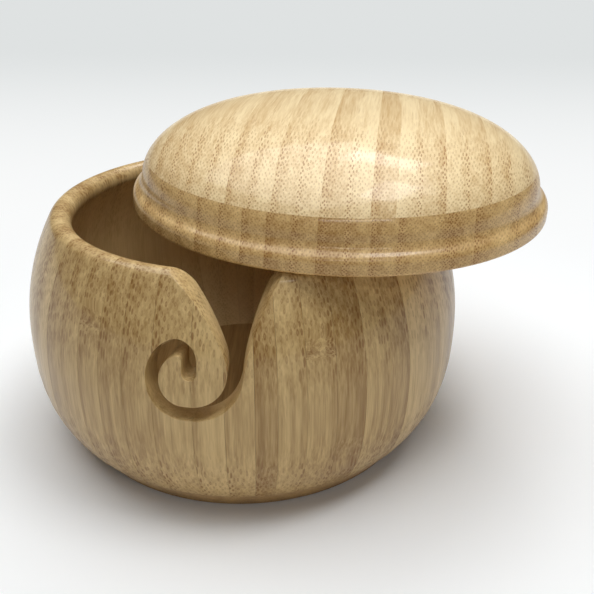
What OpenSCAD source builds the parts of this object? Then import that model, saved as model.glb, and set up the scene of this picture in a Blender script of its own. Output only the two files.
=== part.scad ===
// Turned bamboo yarn bowl with a spiral yarn guide and a loose domed lid.
// Millimetres, +Z up, origin at the centre of the underside, guide facing -Y.

/* [Bowl] */
// Widest outside diameter of the bowl
bowl_d = 150; // [100:1:220]
// Height of the bowl at its rim
bowl_h = 81.5; // [70:0.5:120]
// Height of the widest point of the wall
belly_h = 40; // [30:1:50]
// How far the outside draws in from the widest point to the rim
shoulder_draw = 11.6; // [6:0.2:16]
// How far the outside draws in from the widest point to the base board
foot_draw = 7.8; // [4:0.2:12]
// Wall thickness at the belly and the rim
wall_t = 7.5; // [5:0.25:9]
// Number of upright staves glued edge to edge in the wall
staves = 51; // [40:1:60]
// Staves in each plain section of the wall
section_staves = 5; // [4:1:9]
// Thickness of the glue line between two staves
glue_t = 0.06; // [0.02:0.02:0.2]

/* [Base] */
// Thickness of the base board, which is also the floor
base_t = 8.7; // [6:0.1:14]
// How far the edge of the base board draws in towards the underside
base_draw = 6; // [2:0.2:10]
// Small round at the edge of the underside
base_edge_r = 1; // [0.5:0.1:2]
// Radius of the flat floor inside
floor_r = 45; // [30:1:50]
// Height above the floor over which the inside rounds up into the wall
floor_round_h = 27; // [15:1:30]

/* [Yarn guide] */
// Width of the yarn channel at the widest radius
channel_w = 4.5; // [3:0.1:6]
// Depth of the middle of the curl below the rim
curl_drop = 28.1; // [24:0.1:34]
// Distance from the middle of the guide to the middle of the curl
curl_x = 13; // [11:0.5:15]
// Radius of the channel's middle line round the curl
curl_r = 9.8; // [9.6:0.1:12]
// Radius of the hook at the closed end of the channel
hook_r = 3.85; // [3.5:0.05:4]
// Height of the middle of the hook above the middle of the curl
hook_rise = 5.6; // [4:0.1:5.7]
// Height of the closed end above the middle of the curl
hook_end = 2.7; // [1:0.1:4]
// Straight run under the curl
sweep_run = 2; // [0.5:0.1:4]
// Radius of the channel's middle line on its way up to the mouth
sweep_r = 13.1; // [12:0.1:16]
// Radius of the flap's long edge
flap_r = 37; // [30:1:50]
// Angle at which the flap's long edge leaves the channel
flap_start = 21; // [10:1:35]
// Angle at which it runs on straight to the rim
flap_end = 62; // [50:1:70]
// Radius of the mouth's other edge
mouth_r = 45; // [38:1:90]
// Angle at which that edge leaves the channel
mouth_start = -8; // [-20:1:-2]

/* [Lid] */
// Height of the lid
lid_h = 32; // [26:0.5:50]
// Height of the round lip
lip_h = 6.5; // [5:0.1:9]
// Round at the lip's lower edge
lip_edge_r = 1.2; // [0.5:0.1:2]
// Flat width of the underside between the recess and that round
lip_land = 5; // [2:0.1:8]
// Radius of the hollow above the lip
cove_r = 4; // [3:0.1:6]
// How far the dome's foot stands in from the lip
dome_inset = 3.4; // [2:0.1:5]
// Fullness of the dome's profile at its top and at its foot
dome_top_power = 1.85; // [1.6:0.05:2.4]
dome_side_power = 2.9; // [2:0.05:3.5]
// Thickness of the lid's lower board
lower_board_t = 15; // [12:0.1:18]
// Strips in the lid's lower board
lower_strips = 20; // [12:1:22]
// Strips in the lid's upper board
upper_strips = 20; // [12:1:22]
// Depth of the shallow recess under the lid that seats on the rim
recess_t = 0.6; // [0.4:0.1:2.5]
// Clearance between the recess and the rim when the lid is closed
recess_clearance = 0.5; // [0.2:0.1:1]

/* [Lid set ajar] */
// How far the lid is pushed off centre
lid_shift = 33; // [28:0.5:40]
// Direction of that push, anticlockwise from +X
lid_shift_angle = 9; // [0:1:30]
// Direction across the lid's strips, anticlockwise from +X
lid_strip_angle = -7; // [-45:1:45]
// Air left between the lid and the rim that it rests on
rest_gap = 0.15; // [0.05:0.05:0.3]

/* [Hidden] */
$fn = 180;
// Steps along a long curve, and along a short round
curve_steps = 18;
round_steps = 6;
// Fullness of the outside above and below its widest point
shoulder_power = 2.15;
foot_power = 2.7;
// Angle, from straight down, at which the inside leaves the floor
floor_start = 30;

bowl_r = bowl_d / 2;
crown_r = wall_t / 2;
crown_mid_z = bowl_h - crown_r;
crown_lean = lean(crown_mid_z);
crown_z = crown_mid_z + crown_r * sin(crown_lean);
crown_mid_r = outside_r(crown_z) - crown_r * cos(crown_lean);
round_top_z = base_t + floor_round_h;
round_top_r = outside_r(round_top_z) - wall_t;
round_a = (round_top_r - floor_r) / (1 - sin(floor_start));
round_b = floor_round_h / cos(floor_start);

// Angles of the glue joints at the front, where the staves' widths vary
front_joints = [-134, -127.5, -121, -114.5, -107, -98, -91, -84.5, -79.5,
                -73, -66, -58.5, -51.5, -45, -37.5, -30.5];
// The staves round the rest of the wall share the remaining angle
front_end = front_joints[len(front_joints) - 1];
back_staves = staves - len(front_joints) + 1;
back_pitch = (360 - front_end + front_joints[0]) / back_staves;
joints = concat(front_joints, [for (i = [1:back_staves]) front_end + i * back_pitch]);
lip_r = lip_h / 2;
crown_half = sqrt(pow(crown_r, 2) - pow(crown_r - recess_t, 2));
recess_r = crown_mid_r + crown_half + recess_clearance;
lid_r = recess_r + lip_land + lip_edge_r;
dome_r = lid_r - dome_inset;
// The hollow's arc touches the dome's foot and the round of the lip
hollow_x = dome_r + cove_r - (lid_r - lip_r);
dome_z = lip_r + sqrt(pow(lip_r + cove_r, 2) - pow(hollow_x, 2));
hollow_angle = atan2(dome_z - lip_r, hollow_x);

// The lip rests on the rim where the two cross, and the recess on the rim's far side
crossing_x = (pow(crown_mid_r, 2) + pow(lid_shift, 2) - pow(recess_r, 2)) / (2 * lid_shift);
lid_tilt = asin(recess_t / (crown_mid_r - crossing_x));
lid_z = bowl_h + rest_gap - (lid_shift - crossing_x) * tan(lid_tilt);

// Width of a strip in each lid board, and what was turned off the first strip
upper_pitch = 2 * dome_r / (upper_strips - 0.2);
lower_pitch = 2 * lid_r / (lower_strips - 0.25);
upper_offcut = 1.3;
lower_offcut = 1.7;

// Outside radius of the bowl at a height
function outside_r(z) = z > belly_h
    ? bowl_r - shoulder_draw * pow((z - belly_h) / (bowl_h - belly_h), shoulder_power)
    : bowl_r - foot_draw * pow((belly_h - z) / (belly_h - base_t), foot_power);

// Angle by which the shoulder leans in at a height
function lean(z) = z <= belly_h ? 0
    : atan(shoulder_draw * shoulder_power / (bowl_h - belly_h)
        * pow((z - belly_h) / (bowl_h - belly_h), shoulder_power - 1));

// Points on an arc from one angle to another; first = 1 leaves out the start
function arc(x, y, r, from, to, steps = round_steps, first = 0) =
    [for (i = [first:steps]) let (a = from + (to - from) * i / steps) [x + r * cos(a), y + r * sin(a)]];

// Half section of the wall: outside, crown of the rim, inside, round into the floor
wall_section = concat(
    [for (i = [0:curve_steps]) let (z = base_t + (crown_z - base_t) * i / curve_steps)
        [outside_r(z), z]],
    arc(crown_mid_r, crown_mid_z, crown_r, crown_lean, crown_lean + 180, 2 * round_steps, 1),
    [for (i = [1:curve_steps / 2])
        let (z = crown_z + (round_top_z - crown_z) * i / (curve_steps / 2))
        [outside_r(z) - wall_t * cos(lean(z)), z - wall_t * sin(lean(z))]],
    [for (i = [1:round_steps]) let (a = 90 + (floor_start - 90) * i / round_steps)
        [round_top_r - round_a * (1 - sin(a)), round_top_z - round_b * cos(a)]]
);

// Half section of the base board
base_section = concat(
    [[0, 0]],
    arc(outside_r(base_t) - base_draw - base_edge_r, base_edge_r, base_edge_r, -90, 0),
    [[outside_r(base_t), base_t], [0, base_t]]
);

// Half section of the lid, with its underside at zero
lid_section = concat(
    [[0, recess_t], [recess_r, recess_t], [recess_r, 0]],
    arc(lid_r - lip_edge_r, lip_edge_r, lip_edge_r, -90, 0),
    arc(lid_r - lip_r, lip_r, lip_r, 0, hollow_angle),
    arc(dome_r + cove_r, dome_z, cove_r, hollow_angle + 180, 180, round_steps, 1),
    [for (i = [1:curve_steps]) let (s = sin(90 * i / curve_steps))
        [dome_r * pow(max(0, 1 - pow(s, dome_top_power)), 1 / dome_side_power),
         dome_z + (lid_h - dome_z) * s]]
);

// The guide's outline, as seen from the front at the widest radius
half_w = channel_w / 2;
curl_z = bowl_h - curl_drop;
hook_x = -curl_x - sqrt(pow(curl_r - hook_r, 2) - pow(hook_rise, 2));
hook_z = curl_z + hook_rise;
hook_turn = atan2(hook_rise, hook_x + curl_x);
sweep_x = sweep_run - curl_x;
sweep_z = curl_z - curl_r + sweep_r;
flap_x = sweep_x - (flap_r - sweep_r + half_w) * cos(flap_start);
flap_z = sweep_z - (flap_r - sweep_r + half_w) * sin(flap_start);
mouth_x = sweep_x + (mouth_r + sweep_r + half_w) * cos(mouth_start);
mouth_z = sweep_z + (mouth_r + sweep_r + half_w) * sin(mouth_start);
cut_top = bowl_h + 3;
flap_top_x = flap_x + flap_r * cos(flap_end)
    - (cut_top - flap_z - flap_r * sin(flap_end)) * tan(flap_end);
guide_outline = concat(
    arc(hook_x + hook_r, curl_z + hook_end, half_w, 180, 360),
    arc(hook_x, hook_z, hook_r + half_w, 0, hook_turn),
    arc(-curl_x, curl_z, curl_r + half_w, hook_turn, 270, curve_steps, 1),
    arc(sweep_x, sweep_z, sweep_r + half_w, -90, mouth_start, curve_steps),
    arc(mouth_x, mouth_z, mouth_r, 180 + mouth_start, 180 - asin((cut_top - mouth_z) / mouth_r),
        round_steps, 1),
    [[flap_top_x, cut_top]],
    arc(flap_x, flap_z, flap_r, flap_end, flap_start),
    arc(sweep_x, sweep_z, sweep_r - half_w, flap_start, -90, curve_steps, 1),
    arc(-curl_x, curl_z, curl_r - half_w, 270, hook_turn, curve_steps),
    arc(hook_x, hook_z, hook_r - half_w, hook_turn, 0, round_steps, 1)
);

// The staves that the guide cuts, counted from the first joint
guide_from = -90 + atan(min([for (p = guide_outline) p[0]]) / bowl_r);
guide_to = -90 + atan(max([for (p = guide_outline) p[0]]) / bowl_r);
guide_first = len([for (a = joints) if (a <= guide_from) a]) - 1;
guide_staves = len([for (a = joints) if (a < guide_to) a]) - guide_first;
plain_first = guide_first + guide_staves;
plain_staves = staves - guide_staves;
sections = ceil(plain_staves / section_staves);

// The guide is cut square to the wall, so its outline widens with the radius
module guide_cut() {
    near = bowl_r / 2;
    far = bowl_r + 10;
    translate([0, -near, 0])
        rotate([90, 0, 0])
            linear_extrude(height = far - near, scale = [far / near, 1], slices = 1, segments = 1)
                polygon([for (p = guide_outline) [p[0] * near / bowl_r, p[1]]]);
}

// One upright stave of the wall, between two glue joints
module stave(i) {
    from = joints[i % staves];
    to = joints[i % staves + 1];
    glue = glue_t / bowl_r * 180 / PI;
    rotate([0, 0, from + glue / 2])
        rotate_extrude(angle = to - from - glue)
            polygon(wall_section);
}

module base_board() {
    color("#b98d5a")
        rotate_extrude()
            polygon(base_section);
}

module wall_staves(section) {
    start = (section - 1) * section_staves;
    color("#cfa873")
        for (i = [start:min(start + section_staves, plain_staves) - 1])
            stave(plain_first + i);
}

module guide_stave(i) {
    color("#d3ad78")
        difference() {
            stave(guide_first + i - 1);
            guide_cut();
        }
}

// The turned lid, standing on its lip
module lid_blank() {
    rotate_extrude()
        polygon(lid_section);
}

// Puts the lid where it rests, ajar on the rim
module set_ajar() {
    rotate([0, 0, lid_shift_angle])
        translate([lid_shift, 0, lid_z])
            rotate([0, lid_tilt, 0])
                rotate([0, 0, lid_strip_angle - lid_shift_angle])
                    children();
}

// The part of the lid within one strip of one of its boards
module lid_strip(edge, pitch, bottom, top) {
    set_ajar()
        intersection() {
            lid_blank();
            translate([edge, -bowl_d, bottom])
                cube([pitch, 2 * bowl_d, top - bottom]);
        }
}

module lid_lower_strip(i) {
    color("#c79f6b")
        lid_strip((i - 1) * lower_pitch - lid_r - lower_offcut, lower_pitch, -1, lower_board_t);
}

module lid_upper_strip(i) {
    color("#d6b27e")
        lid_strip((i - 1) * upper_pitch - dome_r - upper_offcut, upper_pitch, lower_board_t, lid_h + 1);
}

base_board();
for (i = [1:sections])
    wall_staves(i);
for (i = [1:guide_staves])
    guide_stave(i);
for (i = [1:lower_strips])
    lid_lower_strip(i);
for (i = [1:upper_strips])
    lid_upper_strip(i);
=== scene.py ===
"""A turned bamboo yarn bowl: staved wall, spiral yarn guide and a loose domed lid set ajar on the rim."""
import logging
import math
from dataclasses import dataclass, field
from enum import Enum

import bpy
import numpy as np
from mathutils import Matrix, Vector


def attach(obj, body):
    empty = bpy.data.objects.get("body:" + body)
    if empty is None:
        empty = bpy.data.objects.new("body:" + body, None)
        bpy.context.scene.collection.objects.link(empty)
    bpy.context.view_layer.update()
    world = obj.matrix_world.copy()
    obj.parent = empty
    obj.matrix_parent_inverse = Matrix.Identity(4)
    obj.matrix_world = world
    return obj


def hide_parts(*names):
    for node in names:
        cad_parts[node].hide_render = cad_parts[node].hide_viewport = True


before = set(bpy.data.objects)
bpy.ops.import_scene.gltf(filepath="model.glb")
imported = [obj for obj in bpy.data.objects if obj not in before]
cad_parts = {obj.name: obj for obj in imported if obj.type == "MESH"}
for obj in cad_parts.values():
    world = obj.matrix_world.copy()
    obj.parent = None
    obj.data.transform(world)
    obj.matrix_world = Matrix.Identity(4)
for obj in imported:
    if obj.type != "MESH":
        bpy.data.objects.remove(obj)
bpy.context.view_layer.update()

log = logging.getLogger("yarn_bowl")

MM = 0.001
PHOTO_PX = 594
SMOOTH_ANGLE = math.radians(38)
TINY = 1e-7
# Least cosine between two segments of a turned outline that shade as one
CREASE = 0.85

Triple = tuple[float, float, float]
Colour = tuple[float, float, float]


class Side(Enum):
    """The edge of a strip that was the hard outside of the cane, where the fibres crowd."""

    LOW = 0
    HIGH = 1


class Socket(Enum):
    """The kinds of socket on a shader group."""

    NUMBER = "NodeSocketFloat"
    VECTOR = "NodeSocketVector"


@dataclass(frozen=True)
class Cane:
    """How one strip of cane looks: its tone from pale 0 to brown 1, its crowded edge and how crowded that is.

    A knuckle is a height along the strip in metres, or below 0 where it has none.
    """

    tone: float
    side: Side = Side.LOW
    crowding: float = 0.6
    knuckle: float = -1.0


def deselect() -> None:
    """Deselects every object."""
    bpy.ops.object.select_all(action="DESELECT")


def activate(piece: bpy.types.Object) -> None:
    """Makes one piece the only selected and the active one."""
    deselect()
    piece.select_set(True)
    bpy.context.view_layer.objects.active = piece


def read(items: bpy.types.bpy_prop_collection, name: str, width: int = 1, kind: type = float) -> np.ndarray:
    """Reads one property of many parts of a mesh.

    Args:
        items: The mesh's vertices, corners or faces.
        name: The property.
        width: Numbers in each value.
        kind: The numbers' type.

    Returns:
        The values, in rows if they are vectors.
    """
    flat = np.empty(len(items) * width, kind)
    items.foreach_get(name, flat)
    return flat.reshape(-1, width) if width > 1 else flat


def points_of(piece: bpy.types.Object) -> np.ndarray:
    """The piece's vertices as rows of x, y, z."""
    return read(piece.data.vertices, "co", 3)


def place_points(piece: bpy.types.Object, points: np.ndarray) -> None:
    """Puts the piece's vertices at these rows of x, y, z."""
    piece.data.vertices.foreach_set("co", points.ravel())
    piece.data.update()


def copy_piece(piece: bpy.types.Object, name: str) -> bpy.types.Object:
    """Copies a piece with its own mesh.

    Args:
        piece: The piece to copy.
        name: The copy's name.

    Returns:
        The copy, linked to the scene.
    """
    copy = piece.copy()
    copy.data = piece.data.copy()
    copy.name = copy.data.name = name
    bpy.context.collection.objects.link(copy)
    return copy


def discard(piece: bpy.types.Object) -> None:
    """Removes a piece that was only a step on the way to another."""
    bpy.data.objects.remove(piece, do_unlink=True)


def edit_all(piece: bpy.types.Object) -> None:
    """Opens a piece in edit mode with all of its mesh selected."""
    activate(piece)
    bpy.ops.object.mode_set(mode="EDIT")
    bpy.ops.mesh.select_all(action="SELECT")


def close_edit() -> None:
    """Goes back to object mode."""
    bpy.ops.object.mode_set(mode="OBJECT")


def clean(merge: float, degenerate: float = 0.0) -> None:
    """Merges the open mesh's doubles, and removes its degenerate faces where a size is given for them."""
    bpy.ops.mesh.select_all(action="SELECT")
    bpy.ops.mesh.remove_doubles(threshold=merge)
    if degenerate:
        bpy.ops.mesh.dissolve_degenerate(threshold=degenerate)


def face_outwards() -> None:
    """Turns all faces of the open mesh outwards."""
    bpy.ops.mesh.select_all(action="SELECT")
    bpy.ops.mesh.normals_make_consistent(inside=False)


def smooth(piece: bpy.types.Object) -> None:
    """Shades a piece smooth apart from its sharp edges."""
    activate(piece)
    bpy.ops.object.shade_smooth_by_angle(angle=SMOOTH_ANGLE)


def slice_mesh(at: Triple, normal: Triple, fill: bool = False, drop_outer: bool = False,
               drop_inner: bool = False) -> None:
    """Cuts the open mesh by a plane.

    Args:
        at: A point on the plane.
        normal: The plane's normal.
        fill: Whether the cut is closed with a face.
        drop_outer: Whether the part that the normal points to goes.
        drop_inner: Whether the other part goes.
    """
    bpy.ops.mesh.select_all(action="SELECT")
    bpy.ops.mesh.bisect(plane_co=at, plane_no=normal, use_fill=fill, clear_outer=drop_outer,
                        clear_inner=drop_inner, threshold=TINY)


def apply_modifier(piece: bpy.types.Object, kind: str, **values: object) -> None:
    """Adds a modifier with these values to a piece and applies it.

    Args:
        piece: The piece to modify.
        kind: The modifier's type.
        values: The modifier's settings.
    """
    activate(piece)
    bpy.ops.object.modifier_add(type=kind)
    modifier = piece.modifiers[-1]
    for name, value in values.items():
        setattr(modifier, name, value)
    bpy.ops.object.modifier_apply(modifier=modifier.name)


def spun(name: str, outline: np.ndarray, steps: int) -> bpy.types.Object:
    """Turns a half section round the Z axis.

    Args:
        name: The piece's name.
        outline: Rows of radius and height, in metres, anticlockwise, from the axis back to the axis.
        steps: Steps in the full turn.

    Returns:
        The turned piece, closed and facing outwards.
    """
    deselect()
    bpy.ops.mesh.primitive_circle_add(vertices=len(outline), radius=1.0)
    piece = bpy.context.active_object
    piece.name = piece.data.name = name
    place_points(piece, np.column_stack([outline[:, 0], np.zeros(len(outline)), outline[:, 1]]))
    # The edge along the axis goes, because the turn closes the piece there
    ends = {0, len(outline) - 1}
    deselect_edges(piece)
    for edge in piece.data.edges:
        edge.select = set(edge.vertices) == ends
    activate(piece)
    bpy.ops.object.mode_set(mode="EDIT")
    bpy.ops.mesh.select_mode(type="EDGE")
    bpy.ops.mesh.delete(type="EDGE_FACE")
    close_edit()
    edit_all(piece)
    bpy.ops.mesh.spin(steps=steps, angle=2 * math.pi, center=(0, 0, 0), axis=(0, 0, 1), use_auto_merge=True)
    clean(1e-6, TINY)
    face_outwards()
    close_edit()
    return piece


def deselect_edges(piece: bpy.types.Object) -> None:
    """Clears the selection of a piece's vertices, edges and faces."""
    for part in (piece.data.vertices, piece.data.edges, piece.data.polygons):
        part.foreach_set("select", [False] * len(part))


def arc(x: float, y: float, r: float, start: float, end: float, steps: int, first: int = 0) -> list:
    """Points on an arc.

    Args:
        x: Middle of the arc, across.
        y: Middle of the arc, up.
        r: Radius.
        start: Angle of its start, in degrees.
        end: Angle of its end, in degrees.
        steps: Steps along it.
        first: The first step that is kept.

    Returns:
        A list of points, each (x, y).
    """
    angles = [math.radians(start + (end - start) * i / steps) for i in range(first, steps + 1)]
    return [(x + r * math.cos(a), y + r * math.sin(a)) for a in angles]


def outward(places: np.ndarray) -> np.ndarray:
    """The way out from the Z axis at each place, as rows of x, y."""
    return places[:, :2] / np.maximum(np.hypot(places[:, 0], places[:, 1]), 1e-9)[:, None]


@dataclass
class TurnedSection:
    """A turned outline and its normals, for shading that runs on over the glue joints."""

    outline: np.ndarray

    def __post_init__(self) -> None:
        """Works out the outline's segments and the normal along each."""
        self.starts = self.outline[:-1]
        self.along = np.diff(self.outline, axis=0)
        length = np.linalg.norm(self.along, axis=1)
        self.flat = np.column_stack([self.along[:, 1], -self.along[:, 0]]) / length[:, None]
        self.length2 = length ** 2

    def corner_normal(self, i: np.ndarray, crease: float) -> np.ndarray:
        """Normal shared by segment i and the one before it, unless they meet at a crease.

        Args:
            i: Segment numbers.
            crease: Least cosine between two segments that shade as one.

        Returns:
            One normal for each segment's start, as rows of radial and upward parts.
        """
        before = self.flat[(i - 1) % len(self.flat)]
        here = self.flat[i % len(self.flat)]
        both = before + here
        both /= np.linalg.norm(both, axis=1)[:, None]
        meets = (before * here).sum(1) > crease
        return np.where(meets[:, None], both, here)

    def normals(self, radius: np.ndarray, height: np.ndarray,
                crease: float = CREASE) -> tuple[np.ndarray, np.ndarray]:
        """Normal of the turned surface nearest to each place.

        Args:
            radius: Distance of each place from the axis.
            height: Its height.
            crease: Least cosine between two segments that shade as one.

        Returns:
            Rows of the normal's radial and upward parts, and each place's distance from the surface.
        """
        place = np.column_stack([radius, height])
        offset = place[:, None, :] - self.starts[None]
        share = np.clip((offset * self.along[None]).sum(2) / self.length2[None], 0, 1)
        away = np.linalg.norm(offset - share[:, :, None] * self.along[None], axis=2)
        nearest = away.argmin(1)
        rows = np.arange(len(place))
        t = share[rows, nearest][:, None]
        first = self.corner_normal(nearest, crease)
        after = (nearest + 1) % len(self.flat)
        last_flat = self.flat[nearest]
        meets = (self.flat[after] * last_flat).sum(1) > crease
        last = np.where(meets[:, None], self.corner_normal(after, crease), last_flat)
        blended = first * (1 - t) + last * t
        blended /= np.linalg.norm(blended, axis=1)[:, None]
        return blended, away[rows, nearest]

    def spread(self, places: np.ndarray, unit: np.ndarray, crease: float = CREASE) -> np.ndarray:
        """Turned normals at places in space.

        Args:
            places: Rows of x, y, z.
            unit: The way out from the axis at each, as rows of x, y.
            crease: Least cosine between two segments that shade as one.

        Returns:
            Rows of normals.
        """
        turned, _ = self.normals(np.hypot(places[:, 0], places[:, 1]), places[:, 2], crease)
        return np.column_stack([unit * turned[:, :1], turned[:, 1]])

    def shade(self, piece: bpy.types.Object, skin: float = 3e-5, alike: float = 0.7,
              probe: float = 0.02) -> None:
        """Gives the piece's turned faces the section's own normals and leaves its cut faces as they are.

        Args:
            piece: The piece, still standing on the turning axis.
            skin: Greatest distance from the section of a vertex on a turned face.
            alike: Least cosine between a turned face and the section.
            probe: How far in from its corner, as a share of the way to its middle, a face is read.
        """
        mesh = piece.data
        points = points_of(piece)
        _, away = self.normals(np.hypot(points[:, 0], points[:, 1]), points[:, 2])
        corners = read(mesh.loops, "vertex_index", kind=int)
        shaded = read(mesh.corner_normals, "vector", 3)
        totals = read(mesh.polygons, "loop_total", kind=int)
        face = np.repeat(np.arange(len(totals)), totals)
        on_skin = (away < skin)[corners].astype(int)
        skin_face = np.minimum.reduceat(on_skin, np.cumsum(totals) - totals) > 0
        centres = read(mesh.polygons, "center", 3)
        expected = self.spread(centres, outward(centres), crease=-2.0)
        skin_face &= (expected * read(mesh.polygons, "normal", 3)).sum(1) > alike
        at = points[corners]
        own = self.spread(at + (centres[face] - at) * probe, outward(at))
        use = skin_face[face]
        shaded[use] = own[use]
        mesh.normals_split_custom_set([tuple(n) for n in shaded])


def varied(index: int, step: float = 0.618) -> float:
    """A share from 0 to 1 that differs well between neighbouring strips."""
    return (index * step) % 1


def write_attribute(piece: bpy.types.Object, name: str, values: np.ndarray) -> None:
    """Writes one number for each vertex of a piece, for its finish to read."""
    made = piece.data.attributes.new(name, "FLOAT", "POINT")
    made.data.foreach_set("value", np.ascontiguousarray(values, dtype=np.float32))


@dataclass
class ShaderGroup:
    """A shader node group that several finishes share."""

    name: str
    inputs: dict[str, tuple[Socket, float]]
    outputs: dict[str, Socket]

    def __post_init__(self) -> None:
        """Makes the group and its sockets."""
        self.tree = bpy.data.node_groups.new(self.name, "ShaderNodeTree")
        for name, (kind, value) in self.inputs.items():
            made = self.tree.interface.new_socket(name, in_out="INPUT", socket_type=kind.value)
            if kind is Socket.NUMBER:
                made.default_value = value
        for name, kind in self.outputs.items():
            self.tree.interface.new_socket(name, in_out="OUTPUT", socket_type=kind.value)
        self.source = self.tree.nodes.new("NodeGroupInput")
        self.sink = self.tree.nodes.new("NodeGroupOutput")

    def use(self, wiring: "Wiring") -> bpy.types.Node:
        """Puts this group in a finish."""
        node = wiring.tree.nodes.new("ShaderNodeGroup")
        node.node_tree = self.tree
        return node


@dataclass(frozen=True, eq=False)
class Number:
    """A number in a shader tree. Arithmetic on it adds Math nodes."""

    wire: "Wiring"
    socket: bpy.types.NodeSocket

    def __add__(self, other: object) -> "Number":
        """This number plus another."""
        return self.wire.maths("ADD", self, other)

    def __sub__(self, other: object) -> "Number":
        """This number less another."""
        return self.wire.maths("SUBTRACT", self, other)

    def __rsub__(self, other: float) -> "Number":
        """A plain number less this one."""
        return self.wire.maths("SUBTRACT", other, self)

    def __mul__(self, other: object) -> "Number":
        """This number times another."""
        return self.wire.maths("MULTIPLY", self, other)

    def __rtruediv__(self, other: float) -> "Number":
        """A plain number divided by this one."""
        return self.wire.maths("DIVIDE", other, self)


@dataclass
class Wiring:
    """Short calls that add and link shader nodes in one tree."""

    tree: bpy.types.NodeTree

    def put(self, socket: bpy.types.NodeSocket, value: object) -> None:
        """Links a socket to another, or sets it to a number, a vector or a colour."""
        value = value.socket if isinstance(value, Number) else value
        if isinstance(value, bpy.types.NodeSocket):
            self.tree.links.new(value, socket)
        elif value is not None:
            socket.default_value = value

    def maths(self, operation: str, a: object, b: object, clamp: bool = False) -> Number:
        """A sum on two numbers.

        Args:
            operation: The Math node's operation.
            a: First number.
            b: Second one.
            clamp: Whether the result stays between 0 and 1.

        Returns:
            The result.
        """
        node = self.tree.nodes.new("ShaderNodeMath")
        node.operation = operation
        node.use_clamp = clamp
        for socket, value in zip(node.inputs, (a, b)):
            self.put(socket, value)
        return Number(self, node.outputs[0])

    def scaled(self, vector: object, scale: Triple) -> bpy.types.NodeSocket:
        """A vector times another, part by part."""
        node = self.tree.nodes.new("ShaderNodeVectorMath")
        node.operation = "MULTIPLY"
        self.put(node.inputs[0], vector)
        node.inputs[1].default_value = scale
        return node.outputs[0]

    def moved(self, vector: object, by: object) -> bpy.types.NodeSocket:
        """The sum of two vectors."""
        node = self.tree.nodes.new("ShaderNodeVectorMath")
        node.operation = "ADD"
        self.put(node.inputs[0], vector)
        self.put(node.inputs[1], by)
        return node.outputs[0]

    def joined(self, x: object, y: object, z: object) -> bpy.types.NodeSocket:
        """A vector from three numbers."""
        node = self.tree.nodes.new("ShaderNodeCombineXYZ")
        for socket, value in zip(node.inputs, (x, y, z)):
            self.put(socket, value)
        return node.outputs[0]

    def split(self, vector: object) -> list[Number]:
        """The three parts of a vector."""
        node = self.tree.nodes.new("ShaderNodeSeparateXYZ")
        self.put(node.inputs[0], vector)
        return [Number(self, part) for part in node.outputs]

    def noise(self, vector: object, scale: float, long: float, detail: float = 2.0,
              rough: float = 0.5) -> Number:
        """Soft noise between 0 and 1, drawn out along Z.

        Args:
            vector: Where it is read.
            scale: Cells in a unit of that vector, across Z.
            long: Share of that many cells along Z.
            detail: Finer layers added.
            rough: Strength of each finer layer.

        Returns:
            The noise's value.
        """
        drawn_out = self.scaled(vector, (1, 1, long))
        node = self.tree.nodes.new("ShaderNodeTexNoise")
        self.put(node.inputs["Vector"], drawn_out)
        node.inputs["Scale"].default_value = scale
        node.inputs["Detail"].default_value = detail
        node.inputs["Roughness"].default_value = rough
        return Number(self, node.outputs["Fac"])

    def cells(self, vector: object, scale: object, loose: float) -> bpy.types.Node:
        """Distance to the nearest of a field of lines along Z.

        Args:
            vector: Where it is read.
            scale: Lines in a unit of that vector.
            loose: How far the lines stray from a regular field, from 0 to 1.

        Returns:
            The node, with Distance and Color outputs.
        """
        node = self.tree.nodes.new("ShaderNodeTexVoronoi")
        node.voronoi_dimensions = "2D"
        self.put(node.inputs["Vector"], vector)
        self.put(node.inputs["Scale"], scale)
        node.inputs["Randomness"].default_value = loose
        return node

    def ramp(self, value: object, low: object, high: object, start: float = 0.0, end: float = 1.0) -> Number:
        """A smooth step of a number from one bound to another.

        Args:
            value: The number.
            low: Bound where the step starts.
            high: Bound where it ends.
            start: Result at the first bound.
            end: Result at the second.

        Returns:
            The result.
        """
        node = self.tree.nodes.new("ShaderNodeMapRange")
        node.interpolation_type = "SMOOTHSTEP"
        names = ("Value", "From Min", "From Max", "To Min", "To Max")
        for name, given in zip(names, (value, low, high, start, end)):
            self.put(node.inputs[name], given)
        return Number(self, node.outputs["Result"])

    def blend(self, share: object, first: object, second: object) -> bpy.types.NodeSocket:
        """A mix of two colours.

        Args:
            share: How much of the second.
            first: First colour.
            second: Second colour.

        Returns:
            The mixed colour's socket.
        """
        node = self.tree.nodes.new("ShaderNodeMix")
        node.data_type = "RGBA"
        node.blend_type = "MIX"
        node.clamp_factor = True
        shares, firsts, seconds = node.inputs[0], node.inputs[6], node.inputs[7]
        for socket, value in ((shares, share), (firsts, first), (seconds, second)):
            self.put(socket, value)
        return node.outputs[2]

    def own(self, name: str) -> Number:
        """A number that the piece's mesh carries."""
        node = self.tree.nodes.new("ShaderNodeAttribute")
        node.attribute_name = name
        return Number(self, node.outputs["Fac"])


def colour(red: float, green: float, blue: float) -> tuple[float, float, float, float]:
    """A colour written as it looks on screen, from 0 to 255, made linear."""
    shares = [part / 255 for part in (red, green, blue)]
    return (*[c / 12.92 if c <= 0.04045 else ((c + 0.055) / 1.055) ** 2.4 for c in shares], 1.0)


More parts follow.
